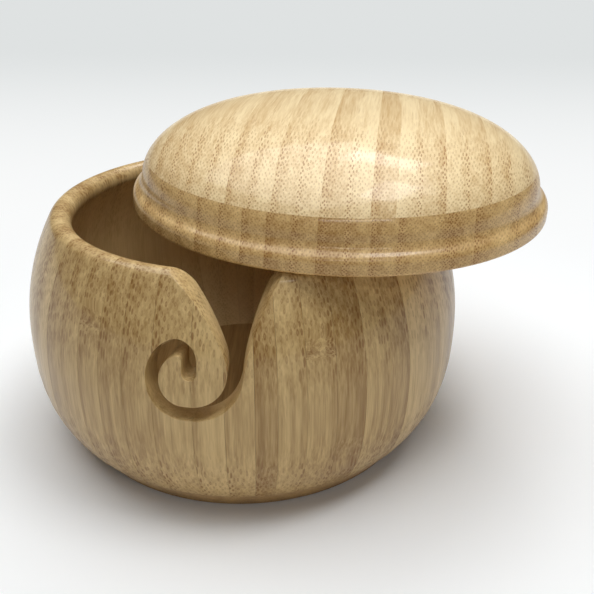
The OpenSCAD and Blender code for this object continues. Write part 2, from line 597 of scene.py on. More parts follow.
@dataclass(frozen=True)
class CaneFibres:
    """How the fibres lie in a strip of cane. Lengths are in metres, reaches in spacings of the bundles."""

    stray: Triple = (0.37, 0.73, 1.91)
    wander: float = 0.0016
    swirl: float = 0.004
    thin_past: float = 0.3
    loose: float = 0.5
    turned: float = 0.7071
    fine_crowd: float = 1.12
    reach: float = 0.29
    crowded_reach: float = 0.07
    soft_edge: float = 0.12
    hollow: float = 0.35
    ring: tuple[float, float] = (0.04, 0.19)
    least_lot: float = 0.6
    lot_end: float = 0.7
    thick_span: tuple[float, float] = (0.6, 0.9)
    sparse_strength: float = 0.62
    fine_strength: float = 0.85
    along_strength: float = 0.42
    along_slope: float = 0.05
    across_slope: float = 0.28

    def build(self) -> ShaderGroup:
        """Builds the group that draws the fibres: bundles, streaks and the knuckle's swirl.

        Returns:
            The group. Its Vector has the cane's length along Z.
        """
        number, vector = Socket.NUMBER, Socket.VECTOR
        group = ShaderGroup(
            "cane_fibres",
            {"Vector": (vector, 0), "Across": (number, 0.5), "Crowding": (number, 0.6), "Seed": (number, 0.0),
             "Knuckle": (number, 0.0), "Spacing": (number, 1.0), "Slope": (number, 1.0)},
            {"Bundles": number, "Streaks": number, "Cloud": number, "Crowded": number, "Hair": number})
        wire = Wiring(group.tree)
        given = {name: Number(wire, group.source.outputs[name]) for name in group.inputs}
        # Each strip is cut from another place of the cane
        place = wire.moved(given["Vector"], wire.joined(*[given["Seed"] * share for share in self.stray]))
        drift = (wire.noise(place, 60, 0.35, 1) - 0.5) * self.wander
        bent = wire.moved(place, wire.joined(drift, drift + given["Knuckle"] * self.swirl, 0.0))
        # The bundles crowd towards the cane's skin and thin out towards its hollow
        crowded = wire.ramp(given["Across"], 0.0, given["Crowding"] + self.thin_past, 1.0, 0.0)
        dots = self.dots(wire, bent, 1000.0 / given["Spacing"], crowded)
        outputs = {
            "Bundles": dots * self.cut(wire, place, given["Slope"]),
            "Streaks": wire.noise(bent, 520, 0.05, 3, 0.6),
            "Cloud": wire.noise(place, 90, 0.16, 2),
            "Crowded": crowded,
            "Hair": wire.noise(bent, 1900, 0.04, 2, 0.6),
        }
        for name, made in outputs.items():
            wire.put(group.sink.inputs[name], made)
        return group

    def dots(self, wire: Wiring, bent: bpy.types.NodeSocket, lines: Number, crowded: Number) -> Number:
        """The bundles as they show where the cane is cut across.

        Args:
            wire: Calls on the group's tree.
            bent: Where the fibres are read.
            lines: Bundles in a metre.
            crowded: How crowded they are, from 0 to 1.

        Returns:
            Their strength, from 0 to 1.
        """
        # The field of lines is turned by 45 degrees, so that neighbouring rows of dots are staggered
        side, depth, _ = wire.split(bent)
        staggered = wire.scaled(wire.joined(side + depth, side - depth, 0.0), (self.turned, self.turned, 0.0))
        coarse = wire.cells(staggered, lines, self.loose)
        fine = wire.cells(staggered, lines * self.fine_crowd, self.loose)
        reach = crowded * self.crowded_reach + self.reach
        edge = reach - self.soft_edge
        fine_dots = wire.ramp(fine.outputs["Distance"], edge, reach, 1.0, 0.0)
        # A bundle is paler in its middle
        ring = wire.ramp(coarse.outputs["Distance"], *self.ring, self.hollow, 1.0)
        coarse_dots = wire.ramp(coarse.outputs["Distance"], edge, reach, 1.0, 0.0) * ring
        lot = wire.ramp(wire.split(coarse.outputs["Color"])[0], 0.0, self.lot_end, self.least_lot, 1.0)
        thick = wire.ramp(crowded, *self.thick_span)
        pale = coarse_dots * (crowded * (1 - self.sparse_strength) + self.sparse_strength)
        sparse = pale * lot * (1.0 - thick)
        return wire.maths("ADD", fine_dots * (thick * self.fine_strength), sparse, clamp=True)

    def cut(self, wire: Wiring, place: bpy.types.NodeSocket, slope: Number) -> Number:
        """How strongly the bundles show: cut across they are dots, cut along faint streaks that come and go.

        Args:
            wire: Calls on the group's tree.
            place: Where the cane is read.
            slope: How squarely the surface cuts the fibres.

        Returns:
            The strength, from 0 to 1.
        """
        run = wire.noise(place, 260, 0.25, 1)
        across = wire.ramp(slope, self.along_slope, self.across_slope)
        return across + (1.0 - across) * (wire.ramp(run, 0.4, 0.65) * self.along_strength)


@dataclass(frozen=True)
class BambooFinish:
    """Lacquered laminated cane: pale and brown ends of its tone, fibre colour, and how the fibres lie."""

    name: str
    pale: Colour
    brown: Colour
    fibre: Colour
    turn: Triple = (0.0, 0.0, 0.0)
    # Painted light: a paler colour mixed into the inner wall below the rim, standing in for light that
    # reaches inside the bowl
    painted_inner_light: Colour = (236, 206, 150)
    painted_inner_light_share: float = 0.6
    fibre_strength: float = 0.8
    fibre_loss_inside: float = 0.5
    spacing: float = 1.1
    cloudy: float = 0.32
    streaky: float = 1.5
    hairy: float = 1.1
    skin_brown: float = 0.2
    least_tone: float = 0.06
    tone_span: float = 0.9
    scar_strength: float = 0.8
    scar_span: tuple[float, float] = (0.15, 1.0)
    scar_streaks: tuple[float, float] = (0.35, 0.65)
    gloss: float = 0.48
    fibre_dull: float = 0.12
    lacquer: float = 0.4
    lacquer_rough: float = 0.1
    shine: float = 0.42
    relief: float = 0.22
    relief_depth: float = 0.00006
    hair_height: float = 0.6
    fibre_sink: float = 0.8

    def make(self, cane: ShaderGroup) -> bpy.types.Material:
        """Builds the finish's material.

        Args:
            cane: The shared group of cane fibres.

        Returns:
            The material.
        """
        material = bpy.data.materials.new(self.name)
        material.use_nodes = True
        nodes = material.node_tree.nodes
        wire = Wiring(material.node_tree)
        shader = nodes["Principled BSDF"]
        turned = nodes.new("ShaderNodeMapping")
        turned.vector_type = "TEXTURE"
        turned.inputs["Rotation"].default_value = self.turn
        wire.put(turned.inputs["Vector"], nodes.new("ShaderNodeTexCoord").outputs["Object"])
        fibres = cane.use(wire)
        wire.put(fibres.inputs["Vector"], turned.outputs["Vector"])
        wire.put(fibres.inputs["Spacing"], self.spacing)
        for name in ("Across", "Crowding", "Seed", "Knuckle", "Slope"):
            wire.put(fibres.inputs[name], wire.own(name.lower()))
        drawn = {name: Number(wire, fibres.outputs[name]) for name in cane.outputs}
        # Mask of the painted light on the inner wall, where the wall is painted paler and its fibre dots
        # fainter
        inside = wire.own("inside")
        own_tone = wire.own("tone") * self.tone_span + self.least_tone + (drawn["Cloud"] - 0.5) * self.cloudy
        lines = (drawn["Streaks"] - 0.5) * self.streaky + (drawn["Hair"] - 0.5) * self.hairy
        share = wire.maths("ADD", own_tone, lines + drawn["Crowded"] * self.skin_brown, clamp=True)
        lacquered = wire.blend(share, colour(*self.pale), colour(*self.brown))
        body = wire.blend(inside * self.painted_inner_light_share, lacquered, colour(*self.painted_inner_light))
        ink = drawn["Bundles"] * (self.fibre_strength - inside * self.fibre_loss_inside)
        dotted = wire.blend(ink, body, colour(*self.fibre))
        scar = wire.ramp(wire.own("knuckle"), *self.scar_span, 0.0, self.scar_strength)
        scar = scar * wire.ramp(drawn["Streaks"], *self.scar_streaks)
        scarred = wire.blend(scar, dotted, colour(*self.fibre))
        wire.put(shader.inputs["Base Color"], scarred)
        wire.put(shader.inputs["Roughness"], drawn["Bundles"] * self.fibre_dull + self.gloss)
        shader.inputs["Coat Weight"].default_value = self.lacquer
        shader.inputs["Coat Roughness"].default_value = self.lacquer_rough
        shader.inputs["Specular IOR Level"].default_value = self.shine
        bump = nodes.new("ShaderNodeBump")
        bump.inputs["Strength"].default_value = self.relief
        bump.inputs["Distance"].default_value = self.relief_depth
        wire.put(bump.inputs["Height"], drawn["Hair"] * self.hair_height - drawn["Bundles"] * self.fibre_sink)
        wire.put(shader.inputs["Normal"], bump.outputs["Normal"])
        return material


def mark_cane(piece: bpy.types.Object, across: np.ndarray, along: np.ndarray, slope: np.ndarray, cane: Cane,
              seed: float, knuckle_half: float = 0.0035) -> None:
    """Writes what the finish needs to know of the strip that a piece was cut from.

    Args:
        piece: The piece.
        across: Each vertex's share of the way across the strip, from its low edge.
        along: Each vertex's place along the strip, in metres.
        slope: How squarely the surface cuts the fibres there, from 0 to 1.
        cane: How the strip looks.
        seed: A number of the strip's own.
        knuckle_half: Half the length of cane that a knuckle marks.
    """
    from_skin = across if cane.side is Side.LOW else 1 - across
    same = np.ones(len(across))
    near = np.clip(1 - np.abs(along - cane.knuckle) / knuckle_half, 0, 1) if cane.knuckle >= 0 else 0 * same
    marks = {"across": from_skin, "tone": cane.tone * same, "crowding": cane.crowding * same,
             "seed": seed * same, "knuckle": near, "slope": slope}
    for name, values in marks.items():
        write_attribute(piece, name, values)


def join_pieces(pieces: list[bpy.types.Object], name: str) -> bpy.types.Object:
    """Joins pieces into one that keeps each one's normals and attributes.

    Args:
        pieces: The pieces to join.
        name: The joined piece's name.

    Returns:
        The joined piece.
    """
    activate(pieces[0])
    for piece in pieces[1:]:
        piece.select_set(True)
    if len(pieces) > 1:
        bpy.ops.object.join()
    joined = bpy.context.view_layer.objects.active
    joined.name = joined.data.name = name
    return joined


def hand_over(piece: bpy.types.Object, node: str, body: str, finish: bpy.types.Material) -> None:
    """Dresses a finished piece and lets it stand for a CAD node.

    Args:
        piece: The piece, at the origin with its place in its mesh.
        node: The CAD node that it stands for.
        body: The body that it rides on.
        finish: Its material.
    """
    piece.data.materials.clear()
    piece.data.materials.append(finish)
    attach(piece, body)
    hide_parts(node)


@dataclass(frozen=True)
class YarnGuide:
    """The yarn guide's mouth, channel, curl and hook, as seen from the front. Sizes are in millimetres."""

    channel: float = 4.5
    curl_drop: float = 28.1
    curl_x: float = 13.0
    curl_r: float = 9.8
    hook_r: float = 3.85
    hook_rise: float = 5.6
    hook_end: float = 2.7
    sweep_run: float = 2.0
    sweep_r: float = 13.1
    flap_r: float = 37.0
    flap_start: float = 21.0
    flap_end: float = 62.0
    mouth_r: float = 45.0
    mouth_start: float = -8.0
    past_rim: float = 3.0

    def outline(self, rim: float) -> list[tuple[float, float]]:
        """The guide's outline at the widest radius.

        Args:
            rim: Height of the bowl's rim.

        Returns:
            Its points, each (across, up).
        """
        half_w, curl_x, curl_r, hook_r = self.channel / 2, self.curl_x, self.curl_r, self.hook_r
        curl_z = rim - self.curl_drop
        hook_x = -curl_x - math.sqrt((curl_r - hook_r) ** 2 - self.hook_rise ** 2)
        hook_z = curl_z + self.hook_rise
        hook_turn = math.degrees(math.atan2(self.hook_rise, hook_x + curl_x))
        sweep_x = self.sweep_run - curl_x
        sweep_z = curl_z - curl_r + self.sweep_r
        flap_reach = self.flap_r - self.sweep_r + half_w
        flap_x = sweep_x - flap_reach * math.cos(math.radians(self.flap_start))
        flap_z = sweep_z - flap_reach * math.sin(math.radians(self.flap_start))
        mouth_reach = self.mouth_r + self.sweep_r + half_w
        mouth_x = sweep_x + mouth_reach * math.cos(math.radians(self.mouth_start))
        mouth_z = sweep_z + mouth_reach * math.sin(math.radians(self.mouth_start))
        top = rim + self.past_rim
        end = math.radians(self.flap_end)
        flap_top = (flap_x + self.flap_r * math.cos(end)
                    - (top - flap_z - self.flap_r * math.sin(end)) * math.tan(end))
        mouth_end = 180 - math.degrees(math.asin((top - mouth_z) / self.mouth_r))
        return (arc(hook_x + hook_r, curl_z + self.hook_end, half_w, 180, 360, 14)
                + arc(hook_x, hook_z, hook_r + half_w, 0, hook_turn, 14, 1)
                + arc(-curl_x, curl_z, curl_r + half_w, hook_turn, 270, 30, 1)
                + arc(sweep_x, sweep_z, self.sweep_r + half_w, -90, self.mouth_start, 26, 1)
                + arc(mouth_x, mouth_z, self.mouth_r, 180 + self.mouth_start, mouth_end, 18, 1)
                + [(flap_top, top)]
                + arc(flap_x, flap_z, self.flap_r, self.flap_end, self.flap_start, 18)
                + arc(sweep_x, sweep_z, self.sweep_r - half_w, self.flap_start, -90, 26, 1)
                + arc(-curl_x, curl_z, curl_r - half_w, 270, hook_turn, 30, 1)
                + arc(hook_x, hook_z, hook_r - half_w, hook_turn, 0, 10, 1)[:-1])


@dataclass
class Bowl:
    """The staved wall with its yarn guide, on its base board. Sizes are in millimetres."""

    radius: float = 75.0
    height: float = 81.5
    belly: float = 40.0
    shoulder_draw: float = 11.6
    foot_draw: float = 7.8
    wall: float = 7.5
    base: float = 8.7
    base_draw: float = 6.0
    base_edge: float = 1.0
    floor_radius: float = 45.0
    floor_round: float = 27.0
    floor_start: float = 30.0
    shoulder_power: float = 2.15
    foot_power: float = 2.7
    glue: float = 0.06
    staves: int = 51
    section_staves: int = 5
    guide_first: int = 3
    guide_staves: int = 6
    front_joints: tuple[float, ...] = (-134, -127.5, -121, -114.5, -107, -98, -91, -84.5, -79.5, -73, -66,
                                       -58.5, -51.5, -45, -37.5, -30.5)
    eased: float = 0.35
    stave_steps: int = 6
    guide: YarnGuide = YarnGuide()
    looks: dict[int, Cane] = field(default_factory=dict)

    def outside(self, z: np.ndarray) -> np.ndarray:
        """Outside radius at each height."""
        up = np.clip((z - self.belly) / (self.height - self.belly), 0, 1)
        down = np.clip((self.belly - z) / (self.belly - self.base), 0, 1)
        return (self.radius - self.shoulder_draw * up ** self.shoulder_power
                - self.foot_draw * down ** self.foot_power)

    def lean(self, z: np.ndarray) -> np.ndarray:
        """Angle, in radians, by which the shoulder leans in at each height."""
        span = self.height - self.belly
        up = np.clip((z - self.belly) / span, 0, 1)
        return np.arctan(self.shoulder_draw * self.shoulder_power / span * up ** (self.shoulder_power - 1))

    @property
    def crown(self) -> tuple[float, float, float, float, float]:
        """The rim's round crown: its radius, its middle's radius and height, its lean and where it starts."""
        r = self.wall / 2
        mid_z = self.height - r
        lean = float(self.lean(np.array(mid_z)))
        z = mid_z + r * math.sin(lean)
        mid_r = float(self.outside(np.array(z))) - r * math.cos(lean)
        return r, mid_r, mid_z, lean, z

    def joints(self) -> list[float]:
        """Angles of the glue joints, in degrees, from the first at the front round to the last."""
        front = list(self.front_joints)
        back = self.staves - len(front) + 1
        pitch = (360 - front[-1] + front[0]) / back
        return front + [front[-1] + (i + 1) * pitch for i in range(back)]

    def section(self, outer_steps: int = 34, round_steps: int = 14) -> np.ndarray:
        """Half section of the wall as rows of radius and height, in metres.

        Args:
            outer_steps: Steps up the outside.
            round_steps: Steps round the crown and in the round above the floor.

        Returns:
            The outline, anticlockwise, from the foot of the outside to the floor.
        """
        r, mid_r, mid_z, lean, crown_z = self.crown
        outer_z = np.linspace(self.base, crown_z, outer_steps + 1)
        outer = np.column_stack([self.outside(outer_z), outer_z])
        start = math.degrees(lean)
        top = np.array(arc(mid_r, mid_z, r, start, start + 180, 2 * round_steps, 1))
        round_z = self.base + self.floor_round
        inner_z = np.linspace(crown_z, round_z, outer_steps // 2 + 1)[1:]
        lean_in = self.lean(inner_z)
        inner = np.column_stack([self.outside(inner_z) - self.wall * np.cos(lean_in),
                                 inner_z - self.wall * np.sin(lean_in)])
        round_r = float(self.outside(np.array(round_z))) - self.wall
        first = math.radians(self.floor_start)
        a = (round_r - self.floor_radius) / (1 - math.sin(first))
        b = self.floor_round / math.cos(first)
        turn = np.linspace(math.pi / 2, first, round_steps + 1)[1:]
        low = np.column_stack([round_r - a * (1 - np.sin(turn)), round_z - b * np.cos(turn)])
        return np.concatenate([outer, top, inner, low]) * MM

    def sides(self) -> tuple[np.ndarray, np.ndarray, np.ndarray]:
        """The wall's two sides at the same heights: heights, outside radii and inside radii, in metres."""
        outline = self.section(120, 60)
        apex = int(outline[:, 1].argmax())
        outer, inner = outline[:apex + 1], outline[apex:][::-1]
        levels = np.unique(np.concatenate([outer[:, 1], inner[:, 1]]))
        return levels, *[np.interp(levels, side[:, 1], side[:, 0]) for side in (outer, inner)]

    def levels(self) -> np.ndarray:
        """Heights at which a flat stave is divided before it is wrapped, in millimetres."""
        r, _, mid_z, _, _ = self.crown
        low = self.base + self.floor_round * (1 - np.cos(np.linspace(0, math.pi / 2, 9)))[1:-1]
        straight = np.linspace(self.base + self.floor_round, mid_z - r / 2, 22)
        crown = mid_z + r * np.sin(np.radians([-15, 0, 12, 24, 35, 45, 54, 62, 70, 77, 83, 87]))
        return np.concatenate([low, straight, crown])

    def wrap(self, flat: np.ndarray) -> np.ndarray:
        """Bends flat points round the bowl.

        Args:
            flat: Rows of angle in degrees, share of the way into the wall, and height in metres.

        Returns:
            Their places on the bowl, in metres.
        """
        levels, outer, inner = self.sides()
        out_r = np.interp(flat[:, 2], levels, outer)
        in_r = np.interp(flat[:, 2], levels, inner)
        radius = out_r + (in_r - out_r) * flat[:, 1]
        angle = np.radians(flat[:, 0])
        return np.column_stack([radius * np.cos(angle), radius * np.sin(angle), flat[:, 2]])

    def slab(self, name: str, x0: float, x1: float) -> bpy.types.Object:
        """A flat board as thick and high as the wall, its outside facing -Y, in metres.

        Args:
            name: The board's name.
            x0: Its left end.
            x1: Its right end.

        Returns:
            The board.
        """
        deselect()
        middle = ((x0 + x1) / 2, self.wall / 2 * MM, (self.base + self.height) / 2 * MM)
        bpy.ops.mesh.primitive_cube_add(size=1, location=middle)
        board = bpy.context.active_object
        board.name = board.data.name = name
        bpy.ops.transform.resize(value=(x1 - x0, self.wall * MM, (self.height - self.base) * MM))
        bpy.ops.object.transform_apply(location=True, rotation=True, scale=True)
        return board

    def divide(self, board: bpy.types.Object, uprights: list[float]) -> None:
        """Divides a flat board at the wall's levels and at these upright lines.

        Args:
            board: The board.
            uprights: Places of the upright lines, in metres.
        """
        edit_all(board)
        for z in self.levels():
            slice_mesh((0, 0, z * MM), (0, 0, 1))
        for x in uprights:
            slice_mesh((x, 0, 0), (1, 0, 0))
        clean(2e-6)
        close_edit()

    def finish_stave(self, board: bpy.types.Object, index: int, angles: np.ndarray, first: float, last: float,
                     outline: TurnedSection) -> bpy.types.Object:
        """Wraps a divided flat board round the bowl and smooths it.

        Args:
            board: The board.
            index: The stave's number from the first joint.
            angles: The angle of each of its vertices, in degrees.
            first: The stave's first joint, in degrees.
            last: Its last joint, in degrees.
            outline: The wall's section.

        Returns:
            The stave.
        """
        flat = points_of(board)
        heights = np.clip(flat[:, 2], self.base * MM, self.height * MM)
        depth = np.clip(flat[:, 1] / (self.wall * MM), 0, 1)
        place_points(board, self.wrap(np.column_stack([angles, depth, heights])))
        edit_all(board)
        clean(3e-6, 1e-6)
        face_outwards()
        close_edit()
        smooth(board)
        outline.shade(board)
        places = points_of(board)
        turn = np.degrees(np.arctan2(places[:, 1], places[:, 0]))
        turn = first + (turn - first + 180) % 360 - 180
        facing, away = outline.normals(np.hypot(places[:, 0], places[:, 1]), places[:, 2])
        mark_cane(board, np.clip((turn - first) / (last - first), 0, 1), places[:, 2], np.abs(facing[:, 1]),
                  self.look(index), index * 0.618)
        # Mask for the painted light on the inner wall: turned faces on the inside, fading in below the rim
        within = (facing[:, 0] < 0) & (away < self.wall * MM / 10)
        below_rim = np.clip((self.crown[4] * MM - places[:, 2]) / (self.wall * MM), 0, 1)
        write_attribute(board, "inside", within * below_rim)
        return board

    def look(self, index: int) -> Cane:
        """How a stave looks: as seen at the front, and by a fixed rule round the back."""
        by_rule = Cane(0.12 + 0.5 * varied(index), Side.LOW if index % 3 else Side.HIGH,
                       0.3 + 0.5 * varied(index, 0.41))
        return self.looks.get(index, by_rule)

    def cutter(self) -> bpy.types.Object:
        """The guide's outline as a block that passes through a flat board.

        Returns:
            The block.
        """
        points = self.guide.outline(self.height)
        deselect()
        bpy.ops.mesh.primitive_circle_add(vertices=len(points), radius=1.0, fill_type="NGON")
        block = bpy.context.active_object
        block.name = "guide_cutter"
        past = 5.0
        place_points(block, np.array([(x, -past, z) for x, z in points]) * MM)
        edit_all(block)
        through = (0, (self.wall + 2 * past) * MM, 0)
        bpy.ops.mesh.extrude_region_move(TRANSFORM_OT_translate={"value": through})
        face_outwards()
        close_edit()
        return block

    def guide_board(self, x0: float, x1: float) -> bpy.types.Object:
        """The flat board that holds the whole guide, cut and with its edges eased.

        Args:
            x0: Its left end, in metres.
            x1: Its right end, in metres.

        Returns:
            The board.
        """
        board = self.slab("guide_board", x0, x1)
        block = self.cutter()
        apply_modifier(board, "BOOLEAN", operation="DIFFERENCE", object=block, solver="EXACT")
        discard(block)
        deselect_edges(board)
        mesh = board.data
        faces_of: dict[tuple[int, int], list[int]] = {key: [] for key in mesh.edge_keys}
        for face in mesh.polygons:
            for key in face.edge_keys:
                faces_of[key].append(face.index)
        near = 1e-5
        for edge in mesh.edges:
            beside = [mesh.polygons[i].normal for i in faces_of[tuple(sorted(edge.vertices))]]
            flat = [abs(n.y) > 0.99 for n in beside]
            ends = [mesh.vertices[v].co for v in edge.vertices]
            within = all(x0 + near < p.x < x1 - near for p in ends)
            at_rim = all(p.z > self.height * MM - near for p in ends)
            at_base = all(p.z < self.base * MM + near for p in ends)
            edge.select = within and not at_rim and not at_base and any(flat) and not all(flat)
        activate(board)
        bpy.ops.object.mode_set(mode="EDIT")
        bpy.ops.mesh.select_mode(type="EDGE")
        bpy.ops.mesh.bevel(offset=self.eased * MM, offset_type="OFFSET", segments=3, profile=0.5,
                           affect="EDGES", clamp_overlap=True, loop_slide=False)
        bpy.ops.mesh.select_mode(type="VERT")
        close_edit()
        return board

    def wall_x(self, angle: float) -> float:
        """Place across the flat guide board of an angle on the bowl, in metres."""
        return self.radius * MM * math.tan(math.radians(angle + 90))

    def build_guide(self, outline: TurnedSection) -> list[bpy.types.Object]:
        """Builds the staves that the guide passes through.

        Args:
            outline: The wall's section.

        Returns:
            The staves, one for each CAD node.
        """
        joints = self.joints()
        gap = math.degrees(self.glue / self.radius)
        first, last = joints[self.guide_first], joints[self.guide_first + self.guide_staves]
        board = self.guide_board(self.wall_x(first + gap / 2), self.wall_x(last - gap / 2))
        staves = []
        for i in range(self.guide_staves):
            low, high = joints[self.guide_first + i] + gap / 2, joints[self.guide_first + i + 1] - gap / 2
            stave = copy_piece(board, f"guide_stave_{i + 1}_turned")
            edit_all(stave)
            if i > 0:
                slice_mesh((self.wall_x(low), 0, 0), (1, 0, 0), fill=True, drop_inner=True)
            if i < self.guide_staves - 1:
                slice_mesh((self.wall_x(high), 0, 0), (1, 0, 0), fill=True, drop_outer=True)
            close_edit()
            steps = self.stave_steps
            self.divide(stave, [self.wall_x(low + (high - low) * k / steps) for k in range(1, steps)])
            angles = np.degrees(np.arctan(points_of(stave)[:, 0] / (self.radius * MM))) - 90
            staves.append(self.finish_stave(stave, self.guide_first + i, angles, low, high, outline))
        discard(board)
        return staves

    def build_sections(self, outline: TurnedSection) -> list[bpy.types.Object]:
        """Builds the plain sections of the wall, each of several neighbouring staves.

        Args:
            outline: The wall's section.

        Returns:
            The sections, one for each CAD node.
        """
        joints = self.joints()
        gap = math.degrees(self.glue / self.radius)
        blank = self.slab("stave_blank", 0, 1)
        self.divide(blank, [0.25, 0.5, 0.75])
        plain_first = self.guide_first + self.guide_staves
        plain = self.staves - self.guide_staves
        sections = []
        for start in range(0, plain, self.section_staves):
            made = []
            for i in range(start, min(start + self.section_staves, plain)):
                index = plain_first + i
                turn = 360 if index >= self.staves else 0
                low = joints[index % self.staves] + gap / 2 + turn
                high = joints[index % self.staves + 1] - gap / 2 + turn
                stave = copy_piece(blank, f"stave_{index}")
                angles = low + (high - low) * points_of(stave)[:, 0]
                made.append(self.finish_stave(stave, index % self.staves, angles, low, high, outline))
            sections.append(join_pieces(made, f"wall_staves_{start // self.section_staves + 1}_turned"))
        discard(blank)
        return sections

    def build_base(self) -> bpy.types.Object:
        """Builds the base board, whose grain runs across the bowl.

        Returns:
            The board.
        """
        rim = float(self.outside(np.array(self.base)))
        edge = arc(rim - self.base_draw - self.base_edge, self.base_edge, self.base_edge, -90, 0, 6)
        rings = (0.0, 20.0, 40.0)
        top = [(r, self.base) for r in reversed(rings)]
        points = [(r, 0.0) for r in rings] + edge + [(rim, self.base)] + top
        outline = np.array(points) * MM
        board = spun("base_board_turned", outline, 160)
        smooth(board)
        TurnedSection(outline).shade(board)
        places = points_of(board)
        strip_width = 0.024
        across = (places[:, 0] / strip_width) % 1
        mark_cane(board, across, places[:, 1], 0 * across, Cane(0.45, Side.LOW, 0.6), seed=3.3)
        return board

    def build(self, finish: bpy.types.Material, base_finish: bpy.types.Material) -> None:
        """Builds the bowl and dresses it.

        Args:
            finish: The wall's finish.
            base_finish: The base board's finish.
        """
        outline = TurnedSection(self.section())
        guide = self.build_guide(outline)
        for i, stave in enumerate(guide):
            hand_over(stave, f"guide_stave_{i + 1}", "bowl", finish)
        log.info("yarn guide: %d staves", len(guide))
        sections = self.build_sections(outline)
        for i, section in enumerate(sections):
            hand_over(section, f"wall_staves_{i + 1}", "bowl", finish)
        log.info("wall: %d sections", len(sections))
        hand_over(self.build_base(), "base_board", "bowl", base_finish)
        log.info("base board")


@dataclass
class Lid:
    """The domed lid of two boards glued from strips, set ajar on the rim. Sizes are in millimetres."""

    bowl: Bowl
    height: float = 32.0
    lip: float = 6.5
    lip_edge: float = 1.2
    lip_land: float = 5.0
    cove: float = 4.0
    inset: float = 3.4
    top_power: float = 1.85
    side_power: float = 2.9
    lower_board: float = 15.0
    strips: int = 20
    turned_over: int = 14
    recess: float = 0.6
    recess_clearance: float = 0.5
    shift: float = 33.0
    shift_angle: float = 9.0
    strip_angle: float = -7.0
    rest_gap: float = 0.15
    upper_looks: dict[int, Cane] = field(default_factory=dict)
    lower_looks: dict[int, Cane] = field(default_factory=dict)

    def __post_init__(self) -> None:
        """Works out the lid's radii and where it rests."""
        crown_r, crown_mid, _, _, _ = self.bowl.crown
        half = math.sqrt(crown_r ** 2 - (crown_r - self.recess) ** 2)
        self.recess_r = crown_mid + half + self.recess_clearance
        self.radius = self.recess_r + self.lip_land + self.lip_edge
        self.dome_r = self.radius - self.inset
        lip_r = self.lip / 2
        hollow_x = self.dome_r + self.cove - (self.radius - lip_r)
        self.dome_z = lip_r + math.sqrt((lip_r + self.cove) ** 2 - hollow_x ** 2)
        self.hollow_angle = math.degrees(math.atan2(self.dome_z - lip_r, hollow_x))
        crossing = (crown_mid ** 2 + self.shift ** 2 - self.recess_r ** 2) / (2 * self.shift)
        self.tilt = math.asin(self.recess / (crown_mid - crossing))
        self.rest_z = self.bowl.height + self.rest_gap - (self.shift - crossing) * math.tan(self.tilt)
        self.upper_pitch = 2 * self.dome_r / (self.strips - 0.2)
        self.lower_pitch = 2 * self.radius / (self.strips - 0.25)
        self.upper_start = -self.dome_r - 1.3
        self.lower_start = -self.radius - 1.7

    @property
    def pose(self) -> Matrix:
        """The turn and shift that set the lid ajar, in metres."""
        return (Matrix.Rotation(math.radians(self.shift_angle), 4, "Z")
                @ Matrix.Translation((self.shift * MM, 0, self.rest_z * MM))
                @ Matrix.Rotation(self.tilt, 4, "Y")
                @ Matrix.Rotation(math.radians(self.strip_angle - self.shift_angle), 4, "Z"))

    def section(self) -> np.ndarray:
        """Half section of the lid as rows of radius and height, in metres."""
        lip_r = self.lip / 2
        rise = np.sin(np.linspace(0, math.pi / 2, 49)[1:])
        dome_x = self.dome_r * np.maximum(0, 1 - rise ** self.top_power) ** (1 / self.side_power)
        dome_y = self.dome_z + (self.height - self.dome_z) * rise
        under = [(0.0, self.recess), (20.0, self.recess), (40.0, self.recess), (self.recess_r, self.recess),
                 (self.recess_r, 0.0)]
        points = (under + arc(self.radius - self.lip_edge, self.lip_edge, self.lip_edge, -90, 0, 8)
                  + [(self.radius, (self.lip_edge + lip_r) / 2)]
                  + arc(self.radius - lip_r, lip_r, lip_r, 0, self.hollow_angle, 14)
                  + arc(self.dome_r + self.cove, self.dome_z, self.cove, self.hollow_angle + 180, 180, 12, 1)
                  + list(zip(dome_x, dome_y)))
        return np.array(points) * MM

    def strip(self, board: bpy.types.Object, name: str, x0: float, x1: float, cane: Cane, seed: float,
              outline: TurnedSection) -> bpy.types.Object:
        """Cuts one strip out of a turned board.

        Args:
            board: The board, standing on the turning axis.
            name: The strip's name.
            x0: Its left side, in metres.
            x1: Its right side, in metres.
            cane: How it looks.
            seed: A number of its own.
            outline: The lid's section.

        Returns:
            The strip, where it lies on the bowl.
        """
        piece = copy_piece(board, name)
        edit_all(piece)
        slice_mesh((x0, 0, 0), (1, 0, 0), fill=True, drop_inner=True)
        slice_mesh((x1, 0, 0), (1, 0, 0), fill=True, drop_outer=True)
        clean(2e-6, 1e-6)
        close_edit()
        smooth(piece)
        outline.shade(piece)
        places = points_of(piece)
        reach = np.maximum(np.hypot(places[:, 0], places[:, 1]), 1e-6)
        facing, _ = outline.normals(reach, places[:, 2])
        mark_cane(piece, np.clip((places[:, 0] - x0) / (x1 - x0), 0, 1), places[:, 1],
                  np.abs(facing[:, 0] * places[:, 1] / reach), cane, seed)
        piece.matrix_world = self.pose
        activate(piece)
        bpy.ops.object.transform_apply(location=True, rotation=True, scale=True)
        return piece

    def halves(self, blank: bpy.types.Object) -> tuple[bpy.types.Object, bpy.types.Object]:
        """Saws the turned blank along the glue line between its two boards.

        Args:
            blank: The whole lid.

        Returns:
            The lower board and the upper one.
        """
        lower, upper = copy_piece(blank, "lower_board"), copy_piece(blank, "upper_board")
        line = (0, 0, self.lower_board * MM)
        edit_all(lower)
        slice_mesh(line, (0, 0, 1), fill=True, drop_outer=True)
        close_edit()
        edit_all(upper)
        slice_mesh(line, (0, 0, 1), fill=True, drop_inner=True)
        close_edit()
        return lower, upper

